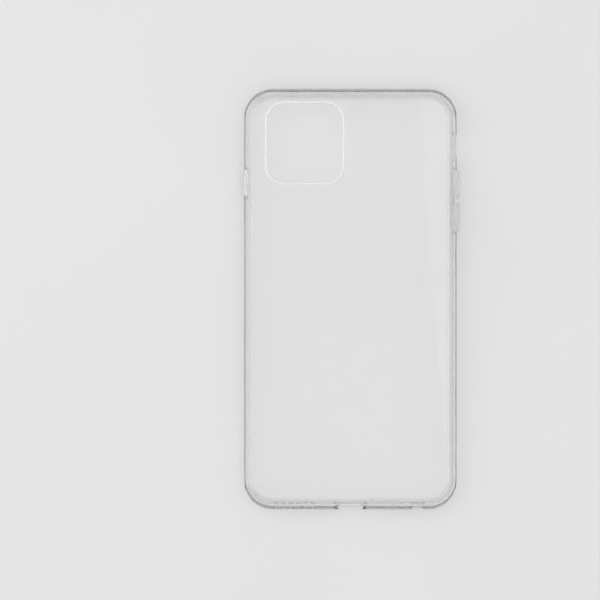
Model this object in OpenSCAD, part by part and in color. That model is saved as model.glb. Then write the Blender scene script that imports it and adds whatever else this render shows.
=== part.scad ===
// Slim clear phone case: a hard back plate moulded into a soft bumper frame, a raised guard round
// the camera window, and button covers that stand on thin flexing webs.
// The case lies on its front lip with its back up: +X is the volume side, +Y the camera end.

/* [Phone] */
// Width of the phone that the case holds
phone_w = 75.7; // [63:0.1:91]
// Length of the phone
phone_l = 150.9; // [125:0.1:182]
// Thickness of the phone
phone_h = 8.3; // [6.9:0.1:10]
// Corner radius of the phone's outline
phone_corner_r = 9.3; // [7.8:0.1:11.2]
// Radius of the phone's long edges, front and back
phone_edge_r = 2.4; // [2:0.1:2.9]
// Gap all round between the phone and the case
phone_fit = 0.1; // [0.05:0.01:0.3]

/* [Bumper frame] */
// Wall along the two long sides
side_wall = 1.0; // [0.8:0.05:1.4]
// Wall across the two ends
end_wall = 1.6; // [1.3:0.05:2.2]
// Thickness of the lip in front of the screen
lip_h = 1.1; // [0.9:0.05:1.4]
// How far the lip reaches in over the screen's edge
lip_reach = 1.1; // [0.9:0.05:1.4]
// Radius of the frame's outer front edge
front_round = 1.3; // [1:0.1:1.6]

/* [Back plate] */
// Thickness of the back
back_t = 1.2; // [1:0.05:1.6]
// Flat of the frame inside the rounded edge, up to the joint with the plate
seam_land = 0.1; // [0.05:0.01:0.2]
// Thickness of the tongue that keys the plate into the soft parts
tongue_t = 0.4; // [0.3:0.01:0.5]
// How far the tongue reaches into the frame
tongue_reach = 0.8; // [0.6:0.05:1]

/* [Camera window] */
// Width of the window, along X
window_w = 27.5; // [22:0.1:33]
// Length of the window, along Y
window_l = 28.9; // [24:0.1:35]
// Corner radius of the window
window_r = 6.1; // [5:0.1:7.4]
// Plate between the frame and the guard at the case's left side
side_strip = 4.05; // [3.3:0.05:5]
// Plate between the frame and the guard at the case's top end
top_strip = 0.55; // [0.4:0.05:1.5]
// Width of the guard's rim
guard_w = 0.95; // [0.8:0.05:1.1]
// Height of the guard above the back
guard_proud = 0.9; // [0.7:0.05:1.2]
// Radius of the guard's top edges
guard_round = 0.35; // [0.2:0.05:0.4]
// How far the plate's tongue reaches into the guard
guard_tongue = 0.4; // [0.3:0.05:0.5]

/* [Buttons] */
// From the case's top end to the middle of the volume-up cover
volume_up_from_top = 35.0; // [30:0.1:42]
// Length of a volume cover
volume_l = 10.7; // [8.9:0.1:12.9]
// Gap between the two volume covers
volume_gap = 1.4; // [1.1:0.1:1.7]
// How far the volume covers stand out of the side
volume_proud = 1.1; // [0.9:0.05:1.3]
// From the case's top end to the middle of the power cover
power_from_top = 34.7; // [29:0.1:41]
// Length of the power cover
power_l = 9.7; // [8.1:0.1:11.6]
// How far the power cover stands out of the side
power_proud = 0.35; // [0.3:0.01:0.5]
// Height of every cover, across the side
button_h = 3.6; // [3:0.1:4.3]
// Radius of a cover's outline
button_r = 1.4; // [1.1:0.05:1.45]
// Radius of a cover's outer edges
button_round = 0.45; // [0.35:0.05:0.55]
// Bare web round a cover, up to the edge of its opening
web_margin = 0.9; // [0.75:0.05:1.1]
// Thickness of the web
web_t = 0.35; // [0.3:0.01:0.4]
// Pocket behind the web for the phone's own button
web_pocket = 0.25; // [0.2:0.01:0.3]
// Corner radius of the openings that the webs close
opening_r = 1.6; // [1.3:0.1:1.9]

/* [Cut-outs] */
// From the case's top end to the middle of the mute switch slot
mute_from_top = 21.2; // [17.7:0.1:24]
// Length of the mute switch slot
mute_l = 11; // [9.2:0.1:13.2]
// Height of the mute switch slot, across the side
mute_h = 4.8; // [4.2:0.1:5.6]
// Width of the charging port opening
port_w = 11.8; // [10:0.1:14]
// Height of the charging port opening
port_h = 6.2; // [5.2:0.1:7]
// Diameter of the speaker holes
speaker_d = 1.7; // [1.4:0.1:2]
// Number of speaker holes
speaker_count = 6; // [4:1:7]
// Distance between speaker holes
speaker_pitch = 2.7; // [2.3:0.1:3]
// From the case's middle to the nearest speaker hole
speaker_from_middle = 13.8; // [12:0.1:15]
// Diameter of the small microphone hole
pinhole_d = 1.2; // [1:0.1:1.5]
// From the case's middle to the small microphone hole
pinhole_from_middle = 18.9; // [16:0.1:20]
// Width of the microphone slot
mic_w = 5.2; // [4.4:0.1:6.2]
// Height of the microphone slot
mic_h = 2.4; // [2:0.1:2.9]
// From the case's middle to the middle of the microphone slot
mic_from_middle = 24.7; // [24:0.1:27]

/* [Hidden] */
$fn = 96;
// Length by which a cutter runs past the face it cuts
over = 1;

cavity_w = phone_w + 2 * phone_fit;
cavity_l = phone_l + 2 * phone_fit;
cavity_h = phone_h + phone_fit;
cavity_r = phone_corner_r + phone_fit;

case_w = cavity_w + 2 * side_wall;
case_l = cavity_l + 2 * end_wall;
case_r = cavity_r + side_wall;
case_edge_r = phone_edge_r + side_wall;

cavity_top = lip_h + cavity_h;
case_h = cavity_top + back_t;
mid_z = lip_h + cavity_h / 2;

seam_inset = phone_edge_r + seam_land;
plate_w = cavity_w - 2 * seam_inset;
plate_l = cavity_l - 2 * seam_inset;
plate_r = cavity_r - seam_inset;
tongue_z = cavity_top + (back_t - tongue_t) / 2;

window_x = side_strip + guard_w + window_w / 2 - plate_w / 2;
window_y = plate_l / 2 - top_strip - guard_w - window_l / 2;

volume_up_y = case_l / 2 - volume_up_from_top;
volume_down_y = volume_up_y - volume_l - volume_gap;
volume_mid_y = (volume_up_y + volume_down_y) / 2;
volume_opening_l = 2 * volume_l + volume_gap + 2 * web_margin;
power_y = case_l / 2 - power_from_top;
power_opening_l = power_l + 2 * web_margin;
opening_h = button_h + 2 * web_margin;
web_x = cavity_w / 2 + web_pocket;
mute_y = case_l / 2 - mute_from_top;

// Flat rounded rectangle about the origin
module outline(w, l, r) {
    square([w - 2 * r, l], center = true);
    square([w, l - 2 * r], center = true);
    for (x = [-1, 1], y = [-1, 1])
        translate([x * (w / 2 - r), y * (l / 2 - r)])
            circle(r);
}

// Flat strip with round ends, w wide along X and h high
module strip(w, h) {
    square([w - h, h], center = true);
    for (x = [-1, 1])
        translate([x * (w - h) / 2, 0])
            circle(d = h);
}

// Quarter disc in the first quadrant
module quarter(r) {
    intersection() {
        circle(r);
        square(r);
    }
}

// Section of a block's edge: r deep and h high, with its outer corners rounded
module edge_section(r, h, top, bottom) {
    translate([0, bottom])
        square([r, h - top - bottom]);
    if (top > 0) {
        translate([0, h - top])
            square([r - top, top]);
        translate([r - top, h - top])
            quarter(top);
    }
    if (bottom > 0) {
        square([r - bottom, bottom]);
        translate([r - bottom, bottom])
            mirror([0, 1])
                quarter(bottom);
    }
}

// Block with a rounded outline and with rounded top and bottom edges, standing on z = 0
module soft_block(w, l, h, r, top, bottom) {
    straight = [l - 2 * r, w - 2 * r];
    translate([-straight[1] / 2, -straight[0] / 2, 0])
        cube([straight[1], straight[0], h]);
    for (turn = [0:3]) {
        along = straight[turn % 2];
        across = straight[(turn + 1) % 2];
        rotate(90 * turn) {
            translate([across / 2, 0, 0])
                rotate([90, 0, 0])
                    linear_extrude(along, center = true)
                        edge_section(r, h, top, bottom);
            translate([across / 2, along / 2, 0])
                rotate_extrude(angle = 90)
                    edge_section(r, h, top, bottom);
        }
    }
}

// Straight-sided slab with a rounded outline, from z to z + h
module slab(w, l, r, z, h) {
    translate([0, 0, z])
        linear_extrude(h)
            outline(w, l, r);
}

// Turns a piece that stands on z = 0 outwards, to stand on the long side at x, with its length along Y
module on_side(side, x, y) {
    translate([side * x, y, mid_z])
        rotate([0, 90 * side, 0])
            children();
}

// Cutter along Y through the bottom end, w wide and h high with round ends
module end_slot(x, w, h) {
    translate([x, over - case_l / 2 + end_wall, mid_z])
        rotate([90, 0, 0])
            linear_extrude(end_wall + 2 * over)
                strip(w, h);
}

// Round cutter along Y through the bottom end
module end_hole(x, d) {
    translate([x, over - case_l / 2 + end_wall, mid_z])
        rotate([90, 0, 0])
            cylinder(d = d, h = end_wall + 2 * over);
}

// Opening with rounded corners through a long side, l long and h high
module side_opening(side, y, l, h, r) {
    on_side(side, cavity_w / 2 - over, y)
        slab(h, l, r, 0, side_wall + 2 * over);
}

// Slot with round ends through a long side
module side_slot(side, y, l, h) {
    on_side(side, cavity_w / 2 - over, y)
        linear_extrude(side_wall + 2 * over)
            rotate(90)
                strip(l, h);
}

// The plate before the camera window is cut: its visible face and the tongue round its edge
module plate_blank() {
    slab(plate_w, plate_l, plate_r, cavity_top, back_t);
    slab(plate_w + 2 * tongue_reach, plate_l + 2 * tongue_reach, plate_r + tongue_reach,
        tongue_z, tongue_t);
}

// The camera guard as a solid block, grooved round its outside for the plate's tongue
module guard_block() {
    w = window_w + 2 * guard_w;
    l = window_l + 2 * guard_w;
    r = window_r + guard_w;
    translate([window_x, window_y, 0])
        difference() {
            translate([0, 0, cavity_top])
                soft_block(w, l, back_t + guard_proud, r, guard_round, 0);
            difference() {
                slab(w + 2 * over, l + 2 * over, r + over, tongue_z, tongue_t);
                slab(w - 2 * guard_tongue, l - 2 * guard_tongue, r - guard_tongue,
                    tongue_z - over, tongue_t + 2 * over);
            }
        }
}

// The camera window as a cutter through the back
module window_cut() {
    translate([window_x, window_y, 0])
        slab(window_w, window_l, window_r, cavity_top - over, back_t + guard_proud + 2 * over);
}

module back_plate() {
    color("whitesmoke")
        difference() {
            plate_blank();
            guard_block();
            window_cut();
        }
}

module bumper_frame() {
    color("gainsboro")
        difference() {
            soft_block(case_w, case_l, case_h, case_r, case_edge_r, front_round);
            translate([0, 0, lip_h])
                soft_block(cavity_w, cavity_l, cavity_h, cavity_r, phone_edge_r, 0);
            slab(cavity_w - 2 * lip_reach, cavity_l - 2 * lip_reach, cavity_r - lip_reach,
                -over, lip_h + 2 * over);
            plate_blank();
            side_opening(1, volume_mid_y, volume_opening_l, opening_h, opening_r);
            side_opening(-1, power_y, power_opening_l, opening_h, opening_r);
            side_slot(1, mute_y, mute_l, mute_h);
            end_slot(0, port_w, port_h);
            for (n = [0:speaker_count - 1])
                end_hole(-speaker_from_middle - n * speaker_pitch, speaker_d);
            end_hole(pinhole_from_middle, pinhole_d);
            end_slot(mic_from_middle, mic_w, mic_h);
        }
}

module camera_guard() {
    color("white")
        difference() {
            guard_block();
            window_cut();
        }
}

module volume_web() {
    color("lightgray")
        on_side(1, web_x, volume_mid_y)
            slab(opening_h, volume_opening_l, opening_r, 0, web_t);
}

module power_web() {
    color("lightgray")
        on_side(-1, web_x, power_y)
            slab(opening_h, power_opening_l, opening_r, 0, web_t);
}

// Cover with its foot on the web and its outer face standing proud of the long side
module button_cover(side, y, l, proud) {
    foot_x = web_x + web_t;
    color("silver")
        on_side(side, foot_x, y)
            soft_block(button_h, l, case_w / 2 + proud - foot_x, button_r, button_round, 0);
}

module volume_up_button() {
    button_cover(1, volume_up_y, volume_l, volume_proud);
}

module volume_down_button() {
    button_cover(1, volume_down_y, volume_l, volume_proud);
}

module power_button() {
    button_cover(-1, power_y, power_l, power_proud);
}

back_plate();
bumper_frame();
camera_guard();
volume_web();
power_web();
volume_up_button();
volume_down_button();
power_button();
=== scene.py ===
import math

import bmesh
import bpy
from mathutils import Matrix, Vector


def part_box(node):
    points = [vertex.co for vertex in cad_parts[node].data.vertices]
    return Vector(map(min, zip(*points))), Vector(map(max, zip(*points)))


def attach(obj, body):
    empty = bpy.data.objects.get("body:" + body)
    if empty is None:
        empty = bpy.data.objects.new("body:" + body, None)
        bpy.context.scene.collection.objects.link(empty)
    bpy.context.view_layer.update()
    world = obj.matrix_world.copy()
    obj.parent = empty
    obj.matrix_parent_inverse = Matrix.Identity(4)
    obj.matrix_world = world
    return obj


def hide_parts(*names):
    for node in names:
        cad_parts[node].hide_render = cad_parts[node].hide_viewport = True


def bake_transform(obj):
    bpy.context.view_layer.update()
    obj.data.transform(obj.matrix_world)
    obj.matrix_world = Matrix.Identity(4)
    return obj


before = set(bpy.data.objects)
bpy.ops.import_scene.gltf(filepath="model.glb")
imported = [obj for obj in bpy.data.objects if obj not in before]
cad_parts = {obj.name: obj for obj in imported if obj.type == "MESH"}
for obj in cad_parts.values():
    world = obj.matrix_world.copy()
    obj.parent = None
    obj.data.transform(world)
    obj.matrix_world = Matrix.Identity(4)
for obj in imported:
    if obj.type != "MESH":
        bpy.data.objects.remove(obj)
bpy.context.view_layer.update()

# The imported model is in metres. Shapes are worked out here in millimetres, and new_object() turns them back.
MM = 0.001

# ---------------------------------------------------------------- sizes

CORNER_STEPS = 28  # steps round each corner of an outline
HOLE_CORNER_STEPS = 10  # the same for the small round holes
FRAME_PARTS = (20, 44)  # parts of the frame's straight ends and sides, so a cut's shading stays near the cut

SHARP_ANGLE = 35  # degrees between two faces from which their edge is shaded sharp
WELD = 0.001  # points closer than this become one
SMALLEST_R = 0.01  # an outline's corners never get sharper than this

# Steps round each rounded edge, and up a cover's crown
FRONT_STEPS = 7
BACK_STEPS = 14
POCKET_STEPS = 10
LIP_STEPS = 5
LIP_ROOT_STEPS = 4
SEAM_STEPS = 3
CUT_STEPS = 5
CUT_INNER_STEPS = 4
GUARD_STEPS = 7
GUARD_FOOT_STEPS = 4
COVER_STEPS = 7
COVER_FOOT_STEPS = 3
CROWN_STEPS = 6

# Walls and edges of the case
PHONE_EDGE_R = 2.4
SIDE_WALL = 1.0
END_WALL = 1.6
LIP_H = 1.1
LIP_REACH = 1.1
LIP_TOP_ROUND = 0.35
LIP_FRONT_ROUND = 0.4
LIP_ROOT_ROUND = 0.2
FRONT_ROUND = 1.3
CASE_CORNER_R = 10.4
PARTING_RIDGE = 0.015  # height of the mould's parting line, and half its width
PARTING_HALF = 0.1

# Joint between the plate and the soft parts
SEAM_LAND = 0.1
SEAM_GAP = 0.02
SEAM_ROUND = 0.06
TONGUE_T = 0.4
TONGUE_REACH = 0.8
GUARD_TONGUE = 0.4

# Camera guard
GUARD_W = 0.95
GUARD_R = 7.05
GUARD_ROUND = 0.38
GUARD_INNER_ROUND = 0.42
GUARD_FOOT_ROUND = 0.2

# Cut-outs in the frame
OPENING_R = 1.6
OPENING_FLARE = 0.3
CUT_FLARE = 0.28
INNER_FLARE = 0.15
CUT_PAST = 0.6  # how far a cutter runs past each face of a wall
MUTE_FROM_TOP = 21.2
MUTE_L = 11.0
MUTE_H = 4.8
PORT_W = 11.8
PORT_H = 6.2
SPEAKER_D = 1.7
SPEAKER_COUNT = 6
SPEAKER_PITCH = 2.7
SPEAKER_FROM_MIDDLE = 13.8
PINHOLE_D = 1.2
PINHOLE_FROM_MIDDLE = 18.9
MIC_W = 5.2
MIC_H = 2.4
MIC_FROM_MIDDLE = 24.7

# Button covers and the webs that carry them
BUTTON_R = 1.4
BUTTON_ROUND = 0.5
BUTTON_CROWN = 0.1
CROWN_FLAT = 0.08  # half the width of the flat strip along the crown's middle
WEB_ROUND = 0.08
WEB_GAP = 0.015  # between a web's edge and the opening it fills
WEB_HOLE = 0.58  # how far a web stops short of a cover
SKIRT_RISE = 0.55
SKIRT_T = 0.22
SKIRT_STEPS = 10
SKIRT_ROOT = 0.02  # how far a skirt's two edges run into the web and the cover


def box_mm(node):
    """Lowest and highest corner of a CAD node, in millimetres."""
    lo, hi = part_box(node)
    return Vector(lo) / MM, Vector(hi) / MM


FRAME_LO, FRAME_HI = box_mm("bumper_frame")
PLATE_LO, PLATE_HI = box_mm("back_plate")
GUARD_LO, GUARD_HI = box_mm("camera_guard")

CASE_W = FRAME_HI.x - FRAME_LO.x
CASE_L = FRAME_HI.y - FRAME_LO.y
CASE_H = FRAME_HI.z
CAVITY_TOP = PLATE_LO.z
CAVITY_W = CASE_W - 2 * SIDE_WALL
CAVITY_L = CASE_L - 2 * END_WALL
CAVITY_R = CASE_CORNER_R - SIDE_WALL
CASE_EDGE_R = PHONE_EDGE_R + SIDE_WALL
SEAM_INSET = PHONE_EDGE_R + SEAM_LAND
TONGUE_Z = (CAVITY_TOP + CASE_H - TONGUE_T) / 2
MID_Z = (LIP_H + CAVITY_TOP) / 2
GUARD_W_OUT = GUARD_HI.x - GUARD_LO.x
GUARD_L_OUT = GUARD_HI.y - GUARD_LO.y
GUARD_MID = (GUARD_LO + GUARD_HI) / 2
MUTE_Y = CASE_L / 2 - MUTE_FROM_TOP


# ---------------------------------------------------------------- mesh building


def outline(w, l, r, cx=0.0, cy=0.0, steps=CORNER_STEPS, along=(1, 1)):
    """Rounded rectangle as points round its middle, anticlockwise. Every size has the same number of points.

    along is how many parts each straight across x and each straight along y is in."""
    r = max(r, SMALLEST_R)
    points = []
    for quarter, (sx, sy) in enumerate([(1, 1), (-1, 1), (-1, -1), (1, -1)]):
        for i in range(steps + 1):
            a = math.pi / 2 * (quarter + i / steps)
            points.append(
                (cx + sx * (w / 2 - r) + r * math.cos(a), cy + sy * (l / 2 - r) + r * math.sin(a))
            )
        x, y = points[-1]
        parts = along[quarter % 2]
        dx, dy = [(-(w - 2 * r), 0), (0, -(l - 2 * r)), (w - 2 * r, 0), (0, l - 2 * r)][quarter]
        points += [(x + dx * i / parts, y + dy * i / parts) for i in range(1, parts)]
    return points


def level(w, l, r, z, inset=0.0, cx=0.0, cy=0.0, steps=CORNER_STEPS, along=(1, 1)):
    """An outline moved in by inset, at height z."""
    flat = outline(w - 2 * inset, l - 2 * inset, r - inset, cx, cy, steps, along)
    return [Vector((x, y, z)) for x, y in flat]


def quarter_turn(steps):
    """Pairs (sine, cosine) from 0 to 90 degrees."""
    return [(math.sin(math.pi / 2 * i / steps), math.cos(math.pi / 2 * i / steps)) for i in range(steps + 1)]


def loft(bm, rings, joined):
    """Skins a list of closed rings of points, and returns the rings' vertices.

    joined also skins from the last ring to the first."""
    loops = [[bm.verts.new(p) for p in ring] for ring in rings]
    pairs = list(zip(loops, loops[1:])) + ([(loops[-1], loops[0])] if joined else [])
    for a, b in pairs:
        for i in range(len(a)):
            j = (i + 1) % len(a)
            bm.faces.new((a[i], a[j], b[j], b[i]))
    return loops


def edges_of(bm, loop):
    """The edges round a closed loop of vertices."""
    return [bm.edges.get((loop[i], loop[(i + 1) % len(loop)])) for i in range(len(loop))]


def new_object(name, bm, place=None):
    """Makes a mesh object, in metres, from a bmesh in millimetres. place turns and moves its points first."""
    for v in bm.verts:
        v.co = (place(v.co) if place else v.co) * MM
    bmesh.ops.remove_doubles(bm, verts=bm.verts, dist=WELD * MM)
    bmesh.ops.recalc_face_normals(bm, faces=bm.faces)
    mesh = bpy.data.meshes.new(name)
    bm.to_mesh(mesh)
    bm.free()
    obj = bpy.data.objects.new(name, mesh)
    bpy.context.scene.collection.objects.link(obj)
    return obj


def apply_modifiers(obj):
    """Turns what the modifiers show into the object's own mesh."""
    bpy.context.view_layer.update()
    shown = obj.evaluated_get(bpy.context.evaluated_depsgraph_get())
    result = bpy.data.meshes.new_from_object(shown)
    obj.modifiers.clear()
    obj.data = result


def cut(obj, cutters):
    """Cuts obj with each cutter, and removes the cutters."""
    for cutter in cutters:
        modifier = obj.modifiers.new("cut", "BOOLEAN")
        modifier.operation = "DIFFERENCE"
        modifier.solver = "EXACT"
        modifier.object = cutter
    apply_modifiers(obj)
    for cutter in cutters:
        bpy.data.objects.remove(cutter)


def finish_piece(obj, body, material, nodes=()):
    """Shades a piece, gives it its material, hides the CAD nodes it replaces, and joins it to a CAD body."""
    obj.data.shade_smooth()
    obj.data.set_sharp_from_angle(angle=math.radians(SHARP_ANGLE))
    even = obj.modifiers.new("even", "WEIGHTED_NORMAL")  # keeps flat faces flat beside their rounded edges
    even.keep_sharp = True
    apply_modifiers(obj)
    obj.data.materials.clear()
    obj.data.materials.append(material)
    if nodes:
        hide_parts(*nodes)
    if body:
        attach(obj, body)
    return obj


def side_place(side, x, y):
    """Places a piece that was made standing on z = 0, with its length along y, on the long side at x."""

    def place(p):
        return Vector((side * (x + p.z), y + p.y, MID_Z + p.x))

    return place


def end_place(x):
    """Places a cutter that was made along z, from the bottom end's outer face at z = 0 inwards."""

    def place(p):
        return Vector((x + p.x, -CASE_L / 2 + p.z, MID_Z + p.y))

    return place


def flared_cutter(name, w, l, r, depth, flare, place, steps=CORNER_STEPS):
    """Cutter through a wall of that depth, from z = 0 inwards, that rounds the wall's edges on both faces."""
    rings = [level(w, l, r, -CUT_PAST, -flare, steps=steps)]
    rings += [
        level(w, l, r, flare * (1 - c), flare * (s - 1), steps=steps) for s, c in quarter_turn(CUT_STEPS)
    ]
    inner = depth - INNER_FLARE
    rings += [
        level(w, l, r, inner + INNER_FLARE * s, INNER_FLARE * (c - 1), steps=steps)
        for s, c in quarter_turn(CUT_INNER_STEPS)
    ]
    rings.append(level(w, l, r, depth + CUT_PAST, -INNER_FLARE, steps=steps))
    bm = bmesh.new()
    loops = loft(bm, rings, joined=False)
    bm.faces.new(loops[0])
    bm.faces.new(loops[-1])
    return new_object(name, bm, place)


# ---------------------------------------------------------------- materials

IOR = 1.5  # of every clear plastic here
UNBENT_CLEAR = 0.985  # part of the light that goes on through a surface in shadows and in bounced light

# Patterns of the plastics. A scale is in waves per metre, and along x, y and z where it has three numbers.
# A range holds the noise values from which the effect starts and at which it is full. A height is in metres.
HANDLED_SCALE = 55.0
SMEAR_SCALE = (260.0, 60.0, 260.0)
SMEAR_RANGE = (0.12, 0.42)
SCUFF_SCALE = (900.0, 900.0, 2500.0)
SCUFF_RANGE = (0.5, 0.7)
SCUFF_ROUGHNESS = 0.3
FLOW_SCALE = (70.0, 25.0, 70.0)
FLOW_HEIGHT = 0.0006
GRAIN_SCALE = 900.0
GRAIN_HEIGHT = 0.00001

# Heights in metres from which and to which a piece gets more scuffed
LIP_WEAR = (0.0013, 0.0003)
GUARD_WEAR = (0.0112, 0.01155)

PAPER_SCALE = 9.0
PAPER_RANGE = (0.3, 0.7)
PAPER_SHADES = (0.845, 0.865)
PAPER_ROUGHNESS = 0.6


class Nodes:
    """Short calls for building a material's node tree."""

    def __init__(self, name):
        self.material = bpy.data.materials.new(name)
        self.material.use_nodes = True
        self.tree = self.material.node_tree
        self.tree.nodes.clear()

    def add(self, kind, inputs=(), **settings):
        """Adds a node. An input is a value, or the socket that feeds it."""
        node = self.tree.nodes.new(kind)
        for key, value in settings.items():
            setattr(node, key, value)
        for key, value in dict(inputs).items():
            if isinstance(value, bpy.types.NodeSocket):
                self.tree.links.new(value, node.inputs[key])
            else:
                node.inputs[key].default_value = value
        return node

    def noise(self, coords, scale, detail=3.0, roughness=0.5):
        return self.add(
            "ShaderNodeTexNoise",
            {"Vector": coords, "Scale": scale, "Detail": detail, "Roughness": roughness},
        ).outputs["Fac"]

    def spread(self, value, low, high, out_low, out_high):
        """Maps values from low to high on to values from out_low to out_high."""
        return self.add(
            "ShaderNodeMapRange",
            {"Value": value, "From Min": low, "From Max": high, "To Min": out_low, "To Max": out_high},
        ).outputs["Result"]

    def stretched(self, coords, scale):
        return self.add("ShaderNodeMapping", {"Vector": coords, "Scale": scale}).outputs["Vector"]


def clear_plastic(name, tint, clearness, depth, gloss, rough, ripple, grain, worn=None):
    """Clear moulded plastic: slightly milky, with uneven polish, long flow ripples and a fine orange peel.

    clearness is the part of it that isn't milky. depth is how much it darkens what is seen through it, per
    metre. gloss and rough are the roughness of its polished and its handled spots. ripple and grain are bump
    strengths. worn is a pair of heights: scuffs roughen the surface from the first, where there are none, to
    the second, where they are strongest."""
    n = Nodes(name)
    coords = n.add("ShaderNodeTexCoord").outputs["Object"]
    handled = n.noise(coords, HANDLED_SCALE, detail=4.0, roughness=0.6)
    smears = n.noise(n.stretched(coords, SMEAR_SCALE), scale=1.0)
    both = n.add("ShaderNodeMath", {0: handled, 1: smears}, operation="MULTIPLY").outputs[0]
    roughness = n.spread(both, *SMEAR_RANGE, gloss, rough)
    if worn:
        height = n.add("ShaderNodeSeparateXYZ", {0: coords}).outputs["Z"]
        edge = n.spread(height, *worn, 0.0, 1.0)
        specks = n.noise(n.stretched(coords, SCUFF_SCALE), scale=1.0, detail=4.0, roughness=0.7)
        scuffs = n.spread(specks, *SCUFF_RANGE, 0.0, SCUFF_ROUGHNESS)
        scuffed = n.add("ShaderNodeMath", {0: edge, 1: scuffs}, operation="MULTIPLY").outputs[0]
        roughness = n.add("ShaderNodeMath", {0: roughness, 1: scuffed}, operation="ADD").outputs[0]
    flow = n.noise(n.stretched(coords, FLOW_SCALE), scale=1.0, detail=1.0)
    fine = n.noise(coords, GRAIN_SCALE, detail=2.0)
    bump = n.add(
        "ShaderNodeBump", {"Height": flow, "Strength": ripple, "Distance": FLOW_HEIGHT}
    ).outputs["Normal"]
    bump = n.add(
        "ShaderNodeBump", {"Height": fine, "Strength": grain, "Distance": GRAIN_HEIGHT, "Normal": bump}
    ).outputs["Normal"]
    plastic = n.add(
        "ShaderNodeBsdfPrincipled",
        {
            "Base Color": (*tint, 1.0),
            "Roughness": roughness,
            "IOR": IOR,
            "Transmission Weight": clearness,
            "Normal": bump,
        },
    )
    unbent = n.add("ShaderNodeBsdfTransparent", {"Color": (*[UNBENT_CLEAR * c for c in tint], 1.0)})
    surface = plastic
    # The floor under the case is lit straight through it, as bent light would leave it dark or noisy.
    for ray in ("Is Shadow Ray", "Is Diffuse Ray"):
        kind = n.add("ShaderNodeLightPath").outputs[ray]
        surface = n.add("ShaderNodeMixShader", {0: kind, 1: surface.outputs[0], 2: unbent.outputs[0]})
    haze = n.add("ShaderNodeVolumeAbsorption", {"Color": (0.0, 0.0, 0.0, 1.0), "Density": depth})
    n.add("ShaderNodeOutputMaterial", {"Surface": surface.outputs[0], "Volume": haze.outputs[0]})
    return n.material


HARD_CLEAR = clear_plastic(
    "hard_clear",
    tint=(0.991, 0.992, 0.993),
    clearness=0.965,
    depth=8.0,
    gloss=0.0,
    rough=0.04,
    ripple=0.05,
    grain=0.08,
)
SOFT_CLEAR = clear_plastic(
    "soft_clear",
    tint=(0.985, 0.986, 0.987),
    clearness=0.96,
    depth=42.0,
    gloss=0.0,
    rough=0.05,
    ripple=0.05,
    grain=0.08,
    worn=LIP_WEAR,
)
GUARD_CLEAR = clear_plastic(
    "guard_clear",
    tint=(0.985, 0.986, 0.988),
    clearness=0.5,
    depth=30.0,
    gloss=0.04,
    rough=0.14,
    ripple=0.03,
    grain=0.08,
    worn=GUARD_WEAR,
)
WEB_CLEAR = clear_plastic(
    "web_clear",
    tint=(0.98, 0.982, 0.984),
    clearness=0.9,
    depth=30.0,
    gloss=0.06,
    rough=0.15,
    ripple=0.05,
    grain=0.5,
)
BUTTON_CLEAR = clear_plastic(
    "button_clear",
    tint=(0.984, 0.986, 0.988),
    clearness=0.92,
    depth=30.0,
    gloss=0.02,
    rough=0.1,
    ripple=0.05,
    grain=0.3,
)


def floor_paper():
    """Pale matt studio paper with a faint unevenness.

    Its underside is clear, so the case's front shows from below."""
    n = Nodes("floor_paper")
    coords = n.add("ShaderNodeTexCoord").outputs["Object"]
    shade = n.spread(n.noise(coords, PAPER_SCALE, detail=4.0), *PAPER_RANGE, *PAPER_SHADES)
    colour = n.add("ShaderNodeCombineColor", {0: shade, 1: shade, 2: shade}).outputs[0]
    paper = n.add("ShaderNodeBsdfDiffuse", {"Color": colour, "Roughness": PAPER_ROUGHNESS})
    under = n.add("ShaderNodeNewGeometry").outputs["Backfacing"]
    clear = n.add("ShaderNodeBsdfTransparent")
    surface = n.add("ShaderNodeMixShader", {0: under, 1: paper.outputs[0], 2: clear.outputs[0]})
    n.add("ShaderNodeOutputMaterial", {"Surface": surface.outputs[0]})
    return n.material


# ---------------------------------------------------------------- bumper frame


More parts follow.
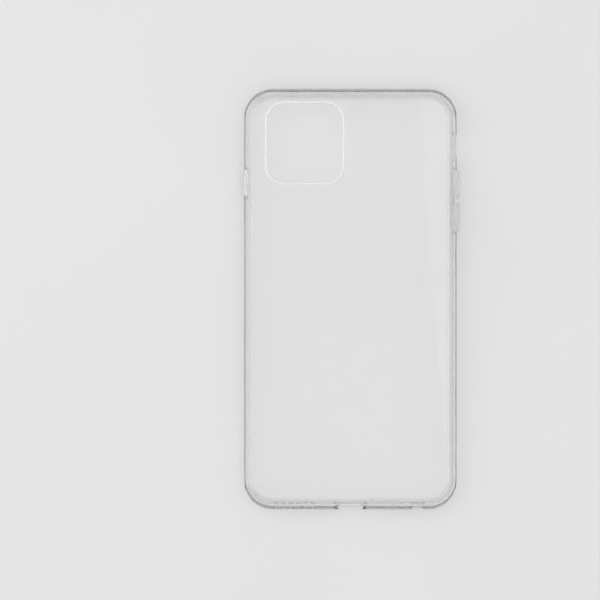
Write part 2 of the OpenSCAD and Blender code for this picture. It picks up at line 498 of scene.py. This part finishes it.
def frame_rings():
    """The frame's section as rings.

    They go up the outside, in over the back, round the plate's tongue, down the pocket and round the lip."""

    def outer(z, inset):
        return level(CASE_W, CASE_L, CASE_CORNER_R, z, inset, along=FRAME_PARTS)

    def pocket(z, inset):
        return level(CAVITY_W, CAVITY_L, CAVITY_R, z, inset, along=FRAME_PARTS)

    seam = SEAM_INSET - SEAM_GAP
    groove = seam - TONGUE_REACH
    groove_low = TONGUE_Z - SEAM_GAP
    groove_high = TONGUE_Z + TONGUE_T + SEAM_GAP
    rings = [outer(FRONT_ROUND * (1 - c), FRONT_ROUND * (1 - s)) for s, c in quarter_turn(FRONT_STEPS)]
    rings += [
        outer(MID_Z - PARTING_HALF, 0),
        outer(MID_Z, -PARTING_RIDGE),
        outer(MID_Z + PARTING_HALF, 0),
    ]
    rings += [
        outer(CASE_H - CASE_EDGE_R * (1 - s), CASE_EDGE_R * (1 - c)) for s, c in quarter_turn(BACK_STEPS)
    ]
    rings += [
        pocket(CASE_H - SEAM_ROUND * (1 - c), seam - SEAM_ROUND * (1 - s))
        for s, c in quarter_turn(SEAM_STEPS)
    ]
    rings += [
        pocket(groove_high, seam),
        pocket(groove_high, groove),
        pocket(groove_low, groove),
        pocket(groove_low, seam),
        pocket(CAVITY_TOP, seam),
    ]
    rings += [
        pocket(CAVITY_TOP - PHONE_EDGE_R * (1 - c), PHONE_EDGE_R * (1 - s))
        for s, c in quarter_turn(POCKET_STEPS)
    ]
    rings += [
        pocket(LIP_H + LIP_ROOT_ROUND * (1 - s), LIP_ROOT_ROUND * (1 - c))
        for s, c in quarter_turn(LIP_ROOT_STEPS)
    ]
    rings += [
        pocket(LIP_H - LIP_TOP_ROUND * (1 - c), LIP_REACH - LIP_TOP_ROUND * (1 - s))
        for s, c in quarter_turn(LIP_STEPS)
    ]
    rings += [
        pocket(LIP_FRONT_ROUND * (1 - s), LIP_REACH - LIP_FRONT_ROUND * (1 - c))
        for s, c in quarter_turn(LIP_STEPS)
    ]
    return rings


def side_cutter(name, side, y, w, l, r, flare):
    """Cutter through a long side: w high and l long, with corners of radius r."""
    place = side_place(side, CASE_W / 2, y)
    # A cutter runs inwards along z, and side_place turns z outwards.
    return flared_cutter(name, w, l, r, SIDE_WALL, flare, lambda p: place(Vector((p.x, p.y, -p.z))))


def end_cutter(name, x, w, h, flare, steps=CORNER_STEPS):
    """Cutter through the bottom end: w wide and h high, with round ends."""
    return flared_cutter(name, w, h, h / 2, END_WALL, flare, end_place(x), steps)


def frame_cutters():
    """Every opening in the frame's walls, with rounded edges."""
    cutters = []
    for web, side in (("volume_web", 1), ("power_web", -1)):
        lo, hi = box_mm(web)
        size = hi - lo
        y = (lo.y + hi.y) / 2
        cutters.append(side_cutter(web + "_opening", side, y, size.z, size.y, OPENING_R, OPENING_FLARE))
    cutters.append(side_cutter("mute_slot", 1, MUTE_Y, MUTE_H, MUTE_L, MUTE_H / 2, CUT_FLARE))
    cutters.append(end_cutter("port", 0, PORT_W, PORT_H, CUT_FLARE))
    cutters.append(end_cutter("mic_slot", MIC_FROM_MIDDLE, MIC_W, MIC_H, CUT_FLARE))
    holes = [("pinhole", PINHOLE_FROM_MIDDLE, PINHOLE_D)]
    holes += [
        (f"speaker_{i}", -SPEAKER_FROM_MIDDLE - i * SPEAKER_PITCH, SPEAKER_D) for i in range(SPEAKER_COUNT)
    ]
    for name, x, d in holes:
        cutters.append(end_cutter(name, x, d, d, INNER_FLARE, HOLE_CORNER_STEPS))
    return cutters


def make_bumper_frame():
    bm = bmesh.new()
    loft(bm, frame_rings(), joined=True)
    obj = new_object("bumper_frame_moulding", bm)
    cut(obj, frame_cutters())
    return finish_piece(obj, "case", SOFT_CLEAR, ["bumper_frame"])


# ---------------------------------------------------------------- back plate


def make_back_plate():
    """The hard plate, with a tongue round its edge and round the camera opening."""

    def edge(z, inset):
        return level(CAVITY_W, CAVITY_L, CAVITY_R, z, SEAM_INSET + inset)

    def hole(z, inset):
        return level(GUARD_W_OUT, GUARD_L_OUT, GUARD_R, z, inset - SEAM_GAP, GUARD_MID.x, GUARD_MID.y)

    tongue_top = TONGUE_Z + TONGUE_T
    bm = bmesh.new()
    outside = [
        edge(CASE_H - SEAM_ROUND * (1 - c), SEAM_ROUND * (1 - s)) for s, c in quarter_turn(SEAM_STEPS)
    ]
    outside += [
        edge(tongue_top, 0),
        edge(tongue_top, -TONGUE_REACH),
        edge(TONGUE_Z, -TONGUE_REACH),
        edge(TONGUE_Z, 0),
        edge(CAVITY_TOP, 0),
    ]
    inside = [
        hole(CASE_H, 0),
        hole(tongue_top, 0),
        hole(tongue_top, GUARD_TONGUE),
        hole(TONGUE_Z, GUARD_TONGUE),
        hole(TONGUE_Z, 0),
        hole(CAVITY_TOP, 0),
    ]
    out_loops = loft(bm, outside, joined=False)
    in_loops = loft(bm, inside, joined=False)
    for a, b in ((out_loops[0], in_loops[0]), (out_loops[-1], in_loops[-1])):
        bmesh.ops.triangle_fill(
            bm, edges=edges_of(bm, a) + edges_of(bm, b), use_beauty=True, use_dissolve=False
        )
    obj = new_object("back_plate_sheet", bm)
    return finish_piece(obj, "case", HARD_CLEAR, ["back_plate"])


# ---------------------------------------------------------------- camera guard


def make_camera_guard():
    """Raised rim, rounded on top, with a groove for the plate's tongue."""

    def ring(z, inset):
        return level(GUARD_W_OUT, GUARD_L_OUT, GUARD_R, z, inset, GUARD_MID.x, GUARD_MID.y)

    top = GUARD_HI.z
    foot = GUARD_FOOT_ROUND
    groove_low = TONGUE_Z - SEAM_GAP
    groove_high = TONGUE_Z + TONGUE_T + SEAM_GAP
    rings = [ring(CAVITY_TOP, 0), ring(groove_low, 0), ring(groove_low, GUARD_TONGUE)]
    rings += [ring(groove_high, GUARD_TONGUE), ring(groove_high, 0)]
    rings += [ring(top - GUARD_ROUND * (1 - s), GUARD_ROUND * (1 - c)) for s, c in quarter_turn(GUARD_STEPS)]
    rings += [
        ring(top - GUARD_INNER_ROUND * (1 - c), GUARD_W - GUARD_INNER_ROUND * (1 - s))
        for s, c in quarter_turn(GUARD_STEPS)
    ]
    rings += [
        ring(CAVITY_TOP + foot * (1 - s), GUARD_W - foot * (1 - c)) for s, c in quarter_turn(GUARD_FOOT_STEPS)
    ]
    bm = bmesh.new()
    loft(bm, rings, joined=True)
    obj = new_object("camera_guard_rim", bm)
    return finish_piece(obj, "case", GUARD_CLEAR, ["camera_guard"])


# ---------------------------------------------------------------- buttons and webs

# Each cover's CAD node, body, web, and side: 1 is the volume side and -1 the power side
BUTTONS = {
    "volume_up": ("volume_up_button", "volume_up_cover", "volume_web", 1),
    "volume_down": ("volume_down_button", "volume_down_cover", "volume_web", 1),
    "power": ("power_button", "power_cover", "power_web", -1),
}


def reach(lo, hi, side):
    """How far a box's near and far faces are from the middle plane, on that side."""
    return (lo.x, hi.x) if side > 0 else (-hi.x, -lo.x)


def make_cover(key):
    """A cover: its stem goes in through the web, and its outer face is slightly crowned with round edges."""
    node, body, web, side = BUTTONS[key]
    lo, hi = box_mm(node)
    web_in = reach(*box_mm(web), side)[0]
    face = reach(lo, hi, side)[1]
    w, l = hi.z - lo.z, hi.y - lo.y
    height = face - web_in
    shoulder = height - BUTTON_CROWN
    rings = [
        level(w, l, BUTTON_R, WEB_ROUND * (1 - c), WEB_ROUND * (1 - s))
        for s, c in quarter_turn(COVER_FOOT_STEPS)
    ]
    rings += [
        level(w, l, BUTTON_R, shoulder - BUTTON_ROUND * (1 - s), BUTTON_ROUND * (1 - c))
        for s, c in quarter_turn(COVER_STEPS)
    ]
    deepest = w / 2 - CROWN_FLAT
    for i in range(1, CROWN_STEPS + 1):
        t = i / CROWN_STEPS
        inset = BUTTON_ROUND + (deepest - BUTTON_ROUND) * t
        rings.append(level(w, l, BUTTON_R, shoulder + BUTTON_CROWN * math.sin(math.pi / 2 * t), inset))
    bm = bmesh.new()
    loops = loft(bm, rings, joined=False)
    bm.faces.new(loops[0])
    bm.faces.new(loops[-1])
    obj = new_object(key + "_cover_cap", bm, side_place(side, web_in, (lo.y + hi.y) / 2))
    return finish_piece(obj, body, BUTTON_CLEAR, [node])


def make_skirt(key):
    """The thin raised web that joins a cover to its flat surround. On the real case it folds as the cover is
    pressed; here it is one fixed shape, joined to no body.
    """
    node, body, web, side = BUTTONS[key]
    lo, hi = box_mm(node)
    web_out = reach(*box_mm(web), side)[1]
    w, l = hi.z - lo.z, hi.y - lo.y
    outer, inner = [], []
    for i in range(SKIRT_STEPS + 1):
        t = i / SKIRT_STEPS
        rise = SKIRT_RISE * (1 - math.cos(math.pi * t)) / 2
        offset = WEB_HOLE + SKIRT_ROOT - (WEB_HOLE + 2 * SKIRT_ROOT) * t
        outer.append(level(w, l, BUTTON_R, rise, -offset))
        inner.append(level(w, l, BUTTON_R, rise - SKIRT_T, -offset))
    bm = bmesh.new()
    loft(bm, outer + inner[::-1], joined=True)
    y = (lo.y + hi.y) / 2
    obj = new_object(key + "_skirt", bm, side_place(side, web_out, y))
    finish_piece(obj, None, WEB_CLEAR)
    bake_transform(obj)
    return obj


def make_web(web, keys):
    """The flat surround of a cover, open where each cover's stem goes through."""
    side = BUTTONS[keys[0]][3]
    lo, hi = box_mm(web)
    near, far = reach(lo, hi, side)
    t = far - near
    w, l = hi.z - lo.z, hi.y - lo.y
    mid_y = (lo.y + hi.y) / 2
    rings = [
        level(w, l, OPENING_R, z, WEB_GAP + inset)
        for z, inset in ((t, WEB_ROUND), (t - WEB_ROUND, 0), (WEB_ROUND, 0), (0, WEB_ROUND))
    ]
    bm = bmesh.new()
    outside = loft(bm, rings, joined=False)
    holes = []
    for key in keys:
        cover_lo, cover_hi = box_mm(BUTTONS[key][0])
        dy = (cover_lo.y + cover_hi.y) / 2 - mid_y
        cw, cl = cover_hi.z - cover_lo.z, cover_hi.y - cover_lo.y
        ring = [level(cw, cl, BUTTON_R, z, -WEB_HOLE, 0, dy) for z in (t, 0)]
        holes.append(loft(bm, ring, joined=False))
    for end in (0, -1):
        edges = edges_of(bm, outside[end])
        for hole in holes:
            edges += edges_of(bm, hole[end])
        bmesh.ops.triangle_fill(bm, edges=edges, use_beauty=True, use_dissolve=False)
    obj = new_object(web + "_sheet", bm, side_place(side, near, mid_y))
    return finish_piece(obj, "case", WEB_CLEAR, [web])


# ---------------------------------------------------------------- stage

VIEW_MM = 219.6  # width of the floor that the picture shows
LENS = 260.0
SENSOR = 36.0
CLIP_NEAR = 0.05  # the camera sees from here to CLIP_FAR, in metres
CLIP_FAR = 20.0
FLOOR_HALF = 15000.0
FLOOR_GAP = 0.03  # keeps the floor clear of the lip's flat face
CASE_SHIFT = Vector((18.5, 0.33))  # where the case lies in the picture, right of and above its middle

# Lamps, in metres and watts. The softbox shines at the case, and the sheen lamp straight down.
SOFTBOX_PLACE = Vector((-1.3, 0.2, 0.95))
SOFTBOX_SIZE = (1.6, 2.4)
SOFTBOX_WATTS = 13.0
SHEEN_PLACE = Vector((0.55, -0.1, 2.0))
SHEEN_SIZE = (0.9, 2.6)
SHEEN_WATTS = 6.0
SHEEN_TURN = 4  # degrees about the vertical, which slants the sheen on the back

# The surround's colour at the horizon, part way up, and from near the top
SKY_LOW = (0.2, 0.2005, 0.201, 1)
SKY_MIDDLE = (0.44, 0.441, 0.442, 1)
SKY_MIDDLE_AT = 0.45
SKY_HIGH = (0.86, 0.86, 0.86, 1)
SKY_HIGH_AT = 0.9


def make_camera():
    """Straight down on the back of the case through a long lens, with the case right of the middle."""
    data = bpy.data.cameras.new("camera")
    data.lens = LENS
    data.sensor_width = SENSOR
    height = VIEW_MM * LENS / SENSOR + CASE_H
    data.clip_start = CLIP_NEAR
    data.clip_end = CLIP_FAR
    camera = bpy.data.objects.new("camera", data)
    bpy.context.scene.collection.objects.link(camera)
    camera.location = Vector((-CASE_SHIFT.x, -CASE_SHIFT.y, height)) * MM
    bpy.context.scene.camera = camera


def make_floor():
    """The floor, just under the case's lip, with its paper side up."""
    bm = bmesh.new()
    bmesh.ops.create_grid(bm, x_segments=1, y_segments=1, size=FLOOR_HALF)
    floor = new_object("floor", bm, lambda p: Vector((p.x, p.y, -FLOOR_GAP)))
    if floor.data.polygons[0].normal.z < 0:
        floor.data.flip_normals()
    floor.data.materials.append(floor_paper())


def area_light(name, place, size, watts):
    """Rectangular lamp that shines straight down until it is turned."""
    data = bpy.data.lights.new(name, "AREA")
    data.shape = "RECTANGLE"
    data.size, data.size_y = size
    data.energy = watts
    light = bpy.data.objects.new(name, data)
    bpy.context.scene.collection.objects.link(light)
    light.location = place
    return light


def make_world():
    """Soft studio surround: bright overhead and darker near the horizon, so clear edges show on the floor."""
    world = bpy.data.worlds.new("studio")
    bpy.context.scene.world = world
    world.use_nodes = True
    tree = world.node_tree
    tree.nodes.clear()
    coords = tree.nodes.new("ShaderNodeTexCoord")
    split = tree.nodes.new("ShaderNodeSeparateXYZ")
    ramp = tree.nodes.new("ShaderNodeValToRGB")
    background = tree.nodes.new("ShaderNodeBackground")
    output = tree.nodes.new("ShaderNodeOutputWorld")
    tree.links.new(coords.outputs["Generated"], split.inputs[0])
    tree.links.new(split.outputs["Z"], ramp.inputs[0])
    tree.links.new(ramp.outputs[0], background.inputs[0])
    tree.links.new(background.outputs[0], output.inputs[0])
    stops = ramp.color_ramp.elements
    stops[0].position = 0.0
    stops[0].color = SKY_LOW
    stops[1].position = SKY_HIGH_AT
    stops[1].color = SKY_HIGH
    middle = stops.new(SKY_MIDDLE_AT)
    middle.color = SKY_MIDDLE


def make_lights():
    """A softbox at the left, and a lamp overhead whose reflection is the slanted sheen on the back."""
    softbox = area_light("left_softbox", SOFTBOX_PLACE, SOFTBOX_SIZE, SOFTBOX_WATTS)
    softbox.rotation_euler = (-SOFTBOX_PLACE).to_track_quat("-Z", "Y").to_euler()
    sheen = area_light("sheen", SHEEN_PLACE, SHEEN_SIZE, SHEEN_WATTS)
    sheen.rotation_euler = (0, 0, math.radians(SHEEN_TURN))
    sheen.visible_transmission = False  # so the lamp doesn't show through the case from below


bpy.context.scene.view_settings.view_transform = "Standard"
make_camera()
make_floor()
make_world()
make_lights()

make_bumper_frame()
make_back_plate()
make_camera_guard()
for key in BUTTONS:
    make_cover(key)
    make_skirt(key)
make_web("volume_web", ["volume_up", "volume_down"])
make_web("power_web", ["power"])
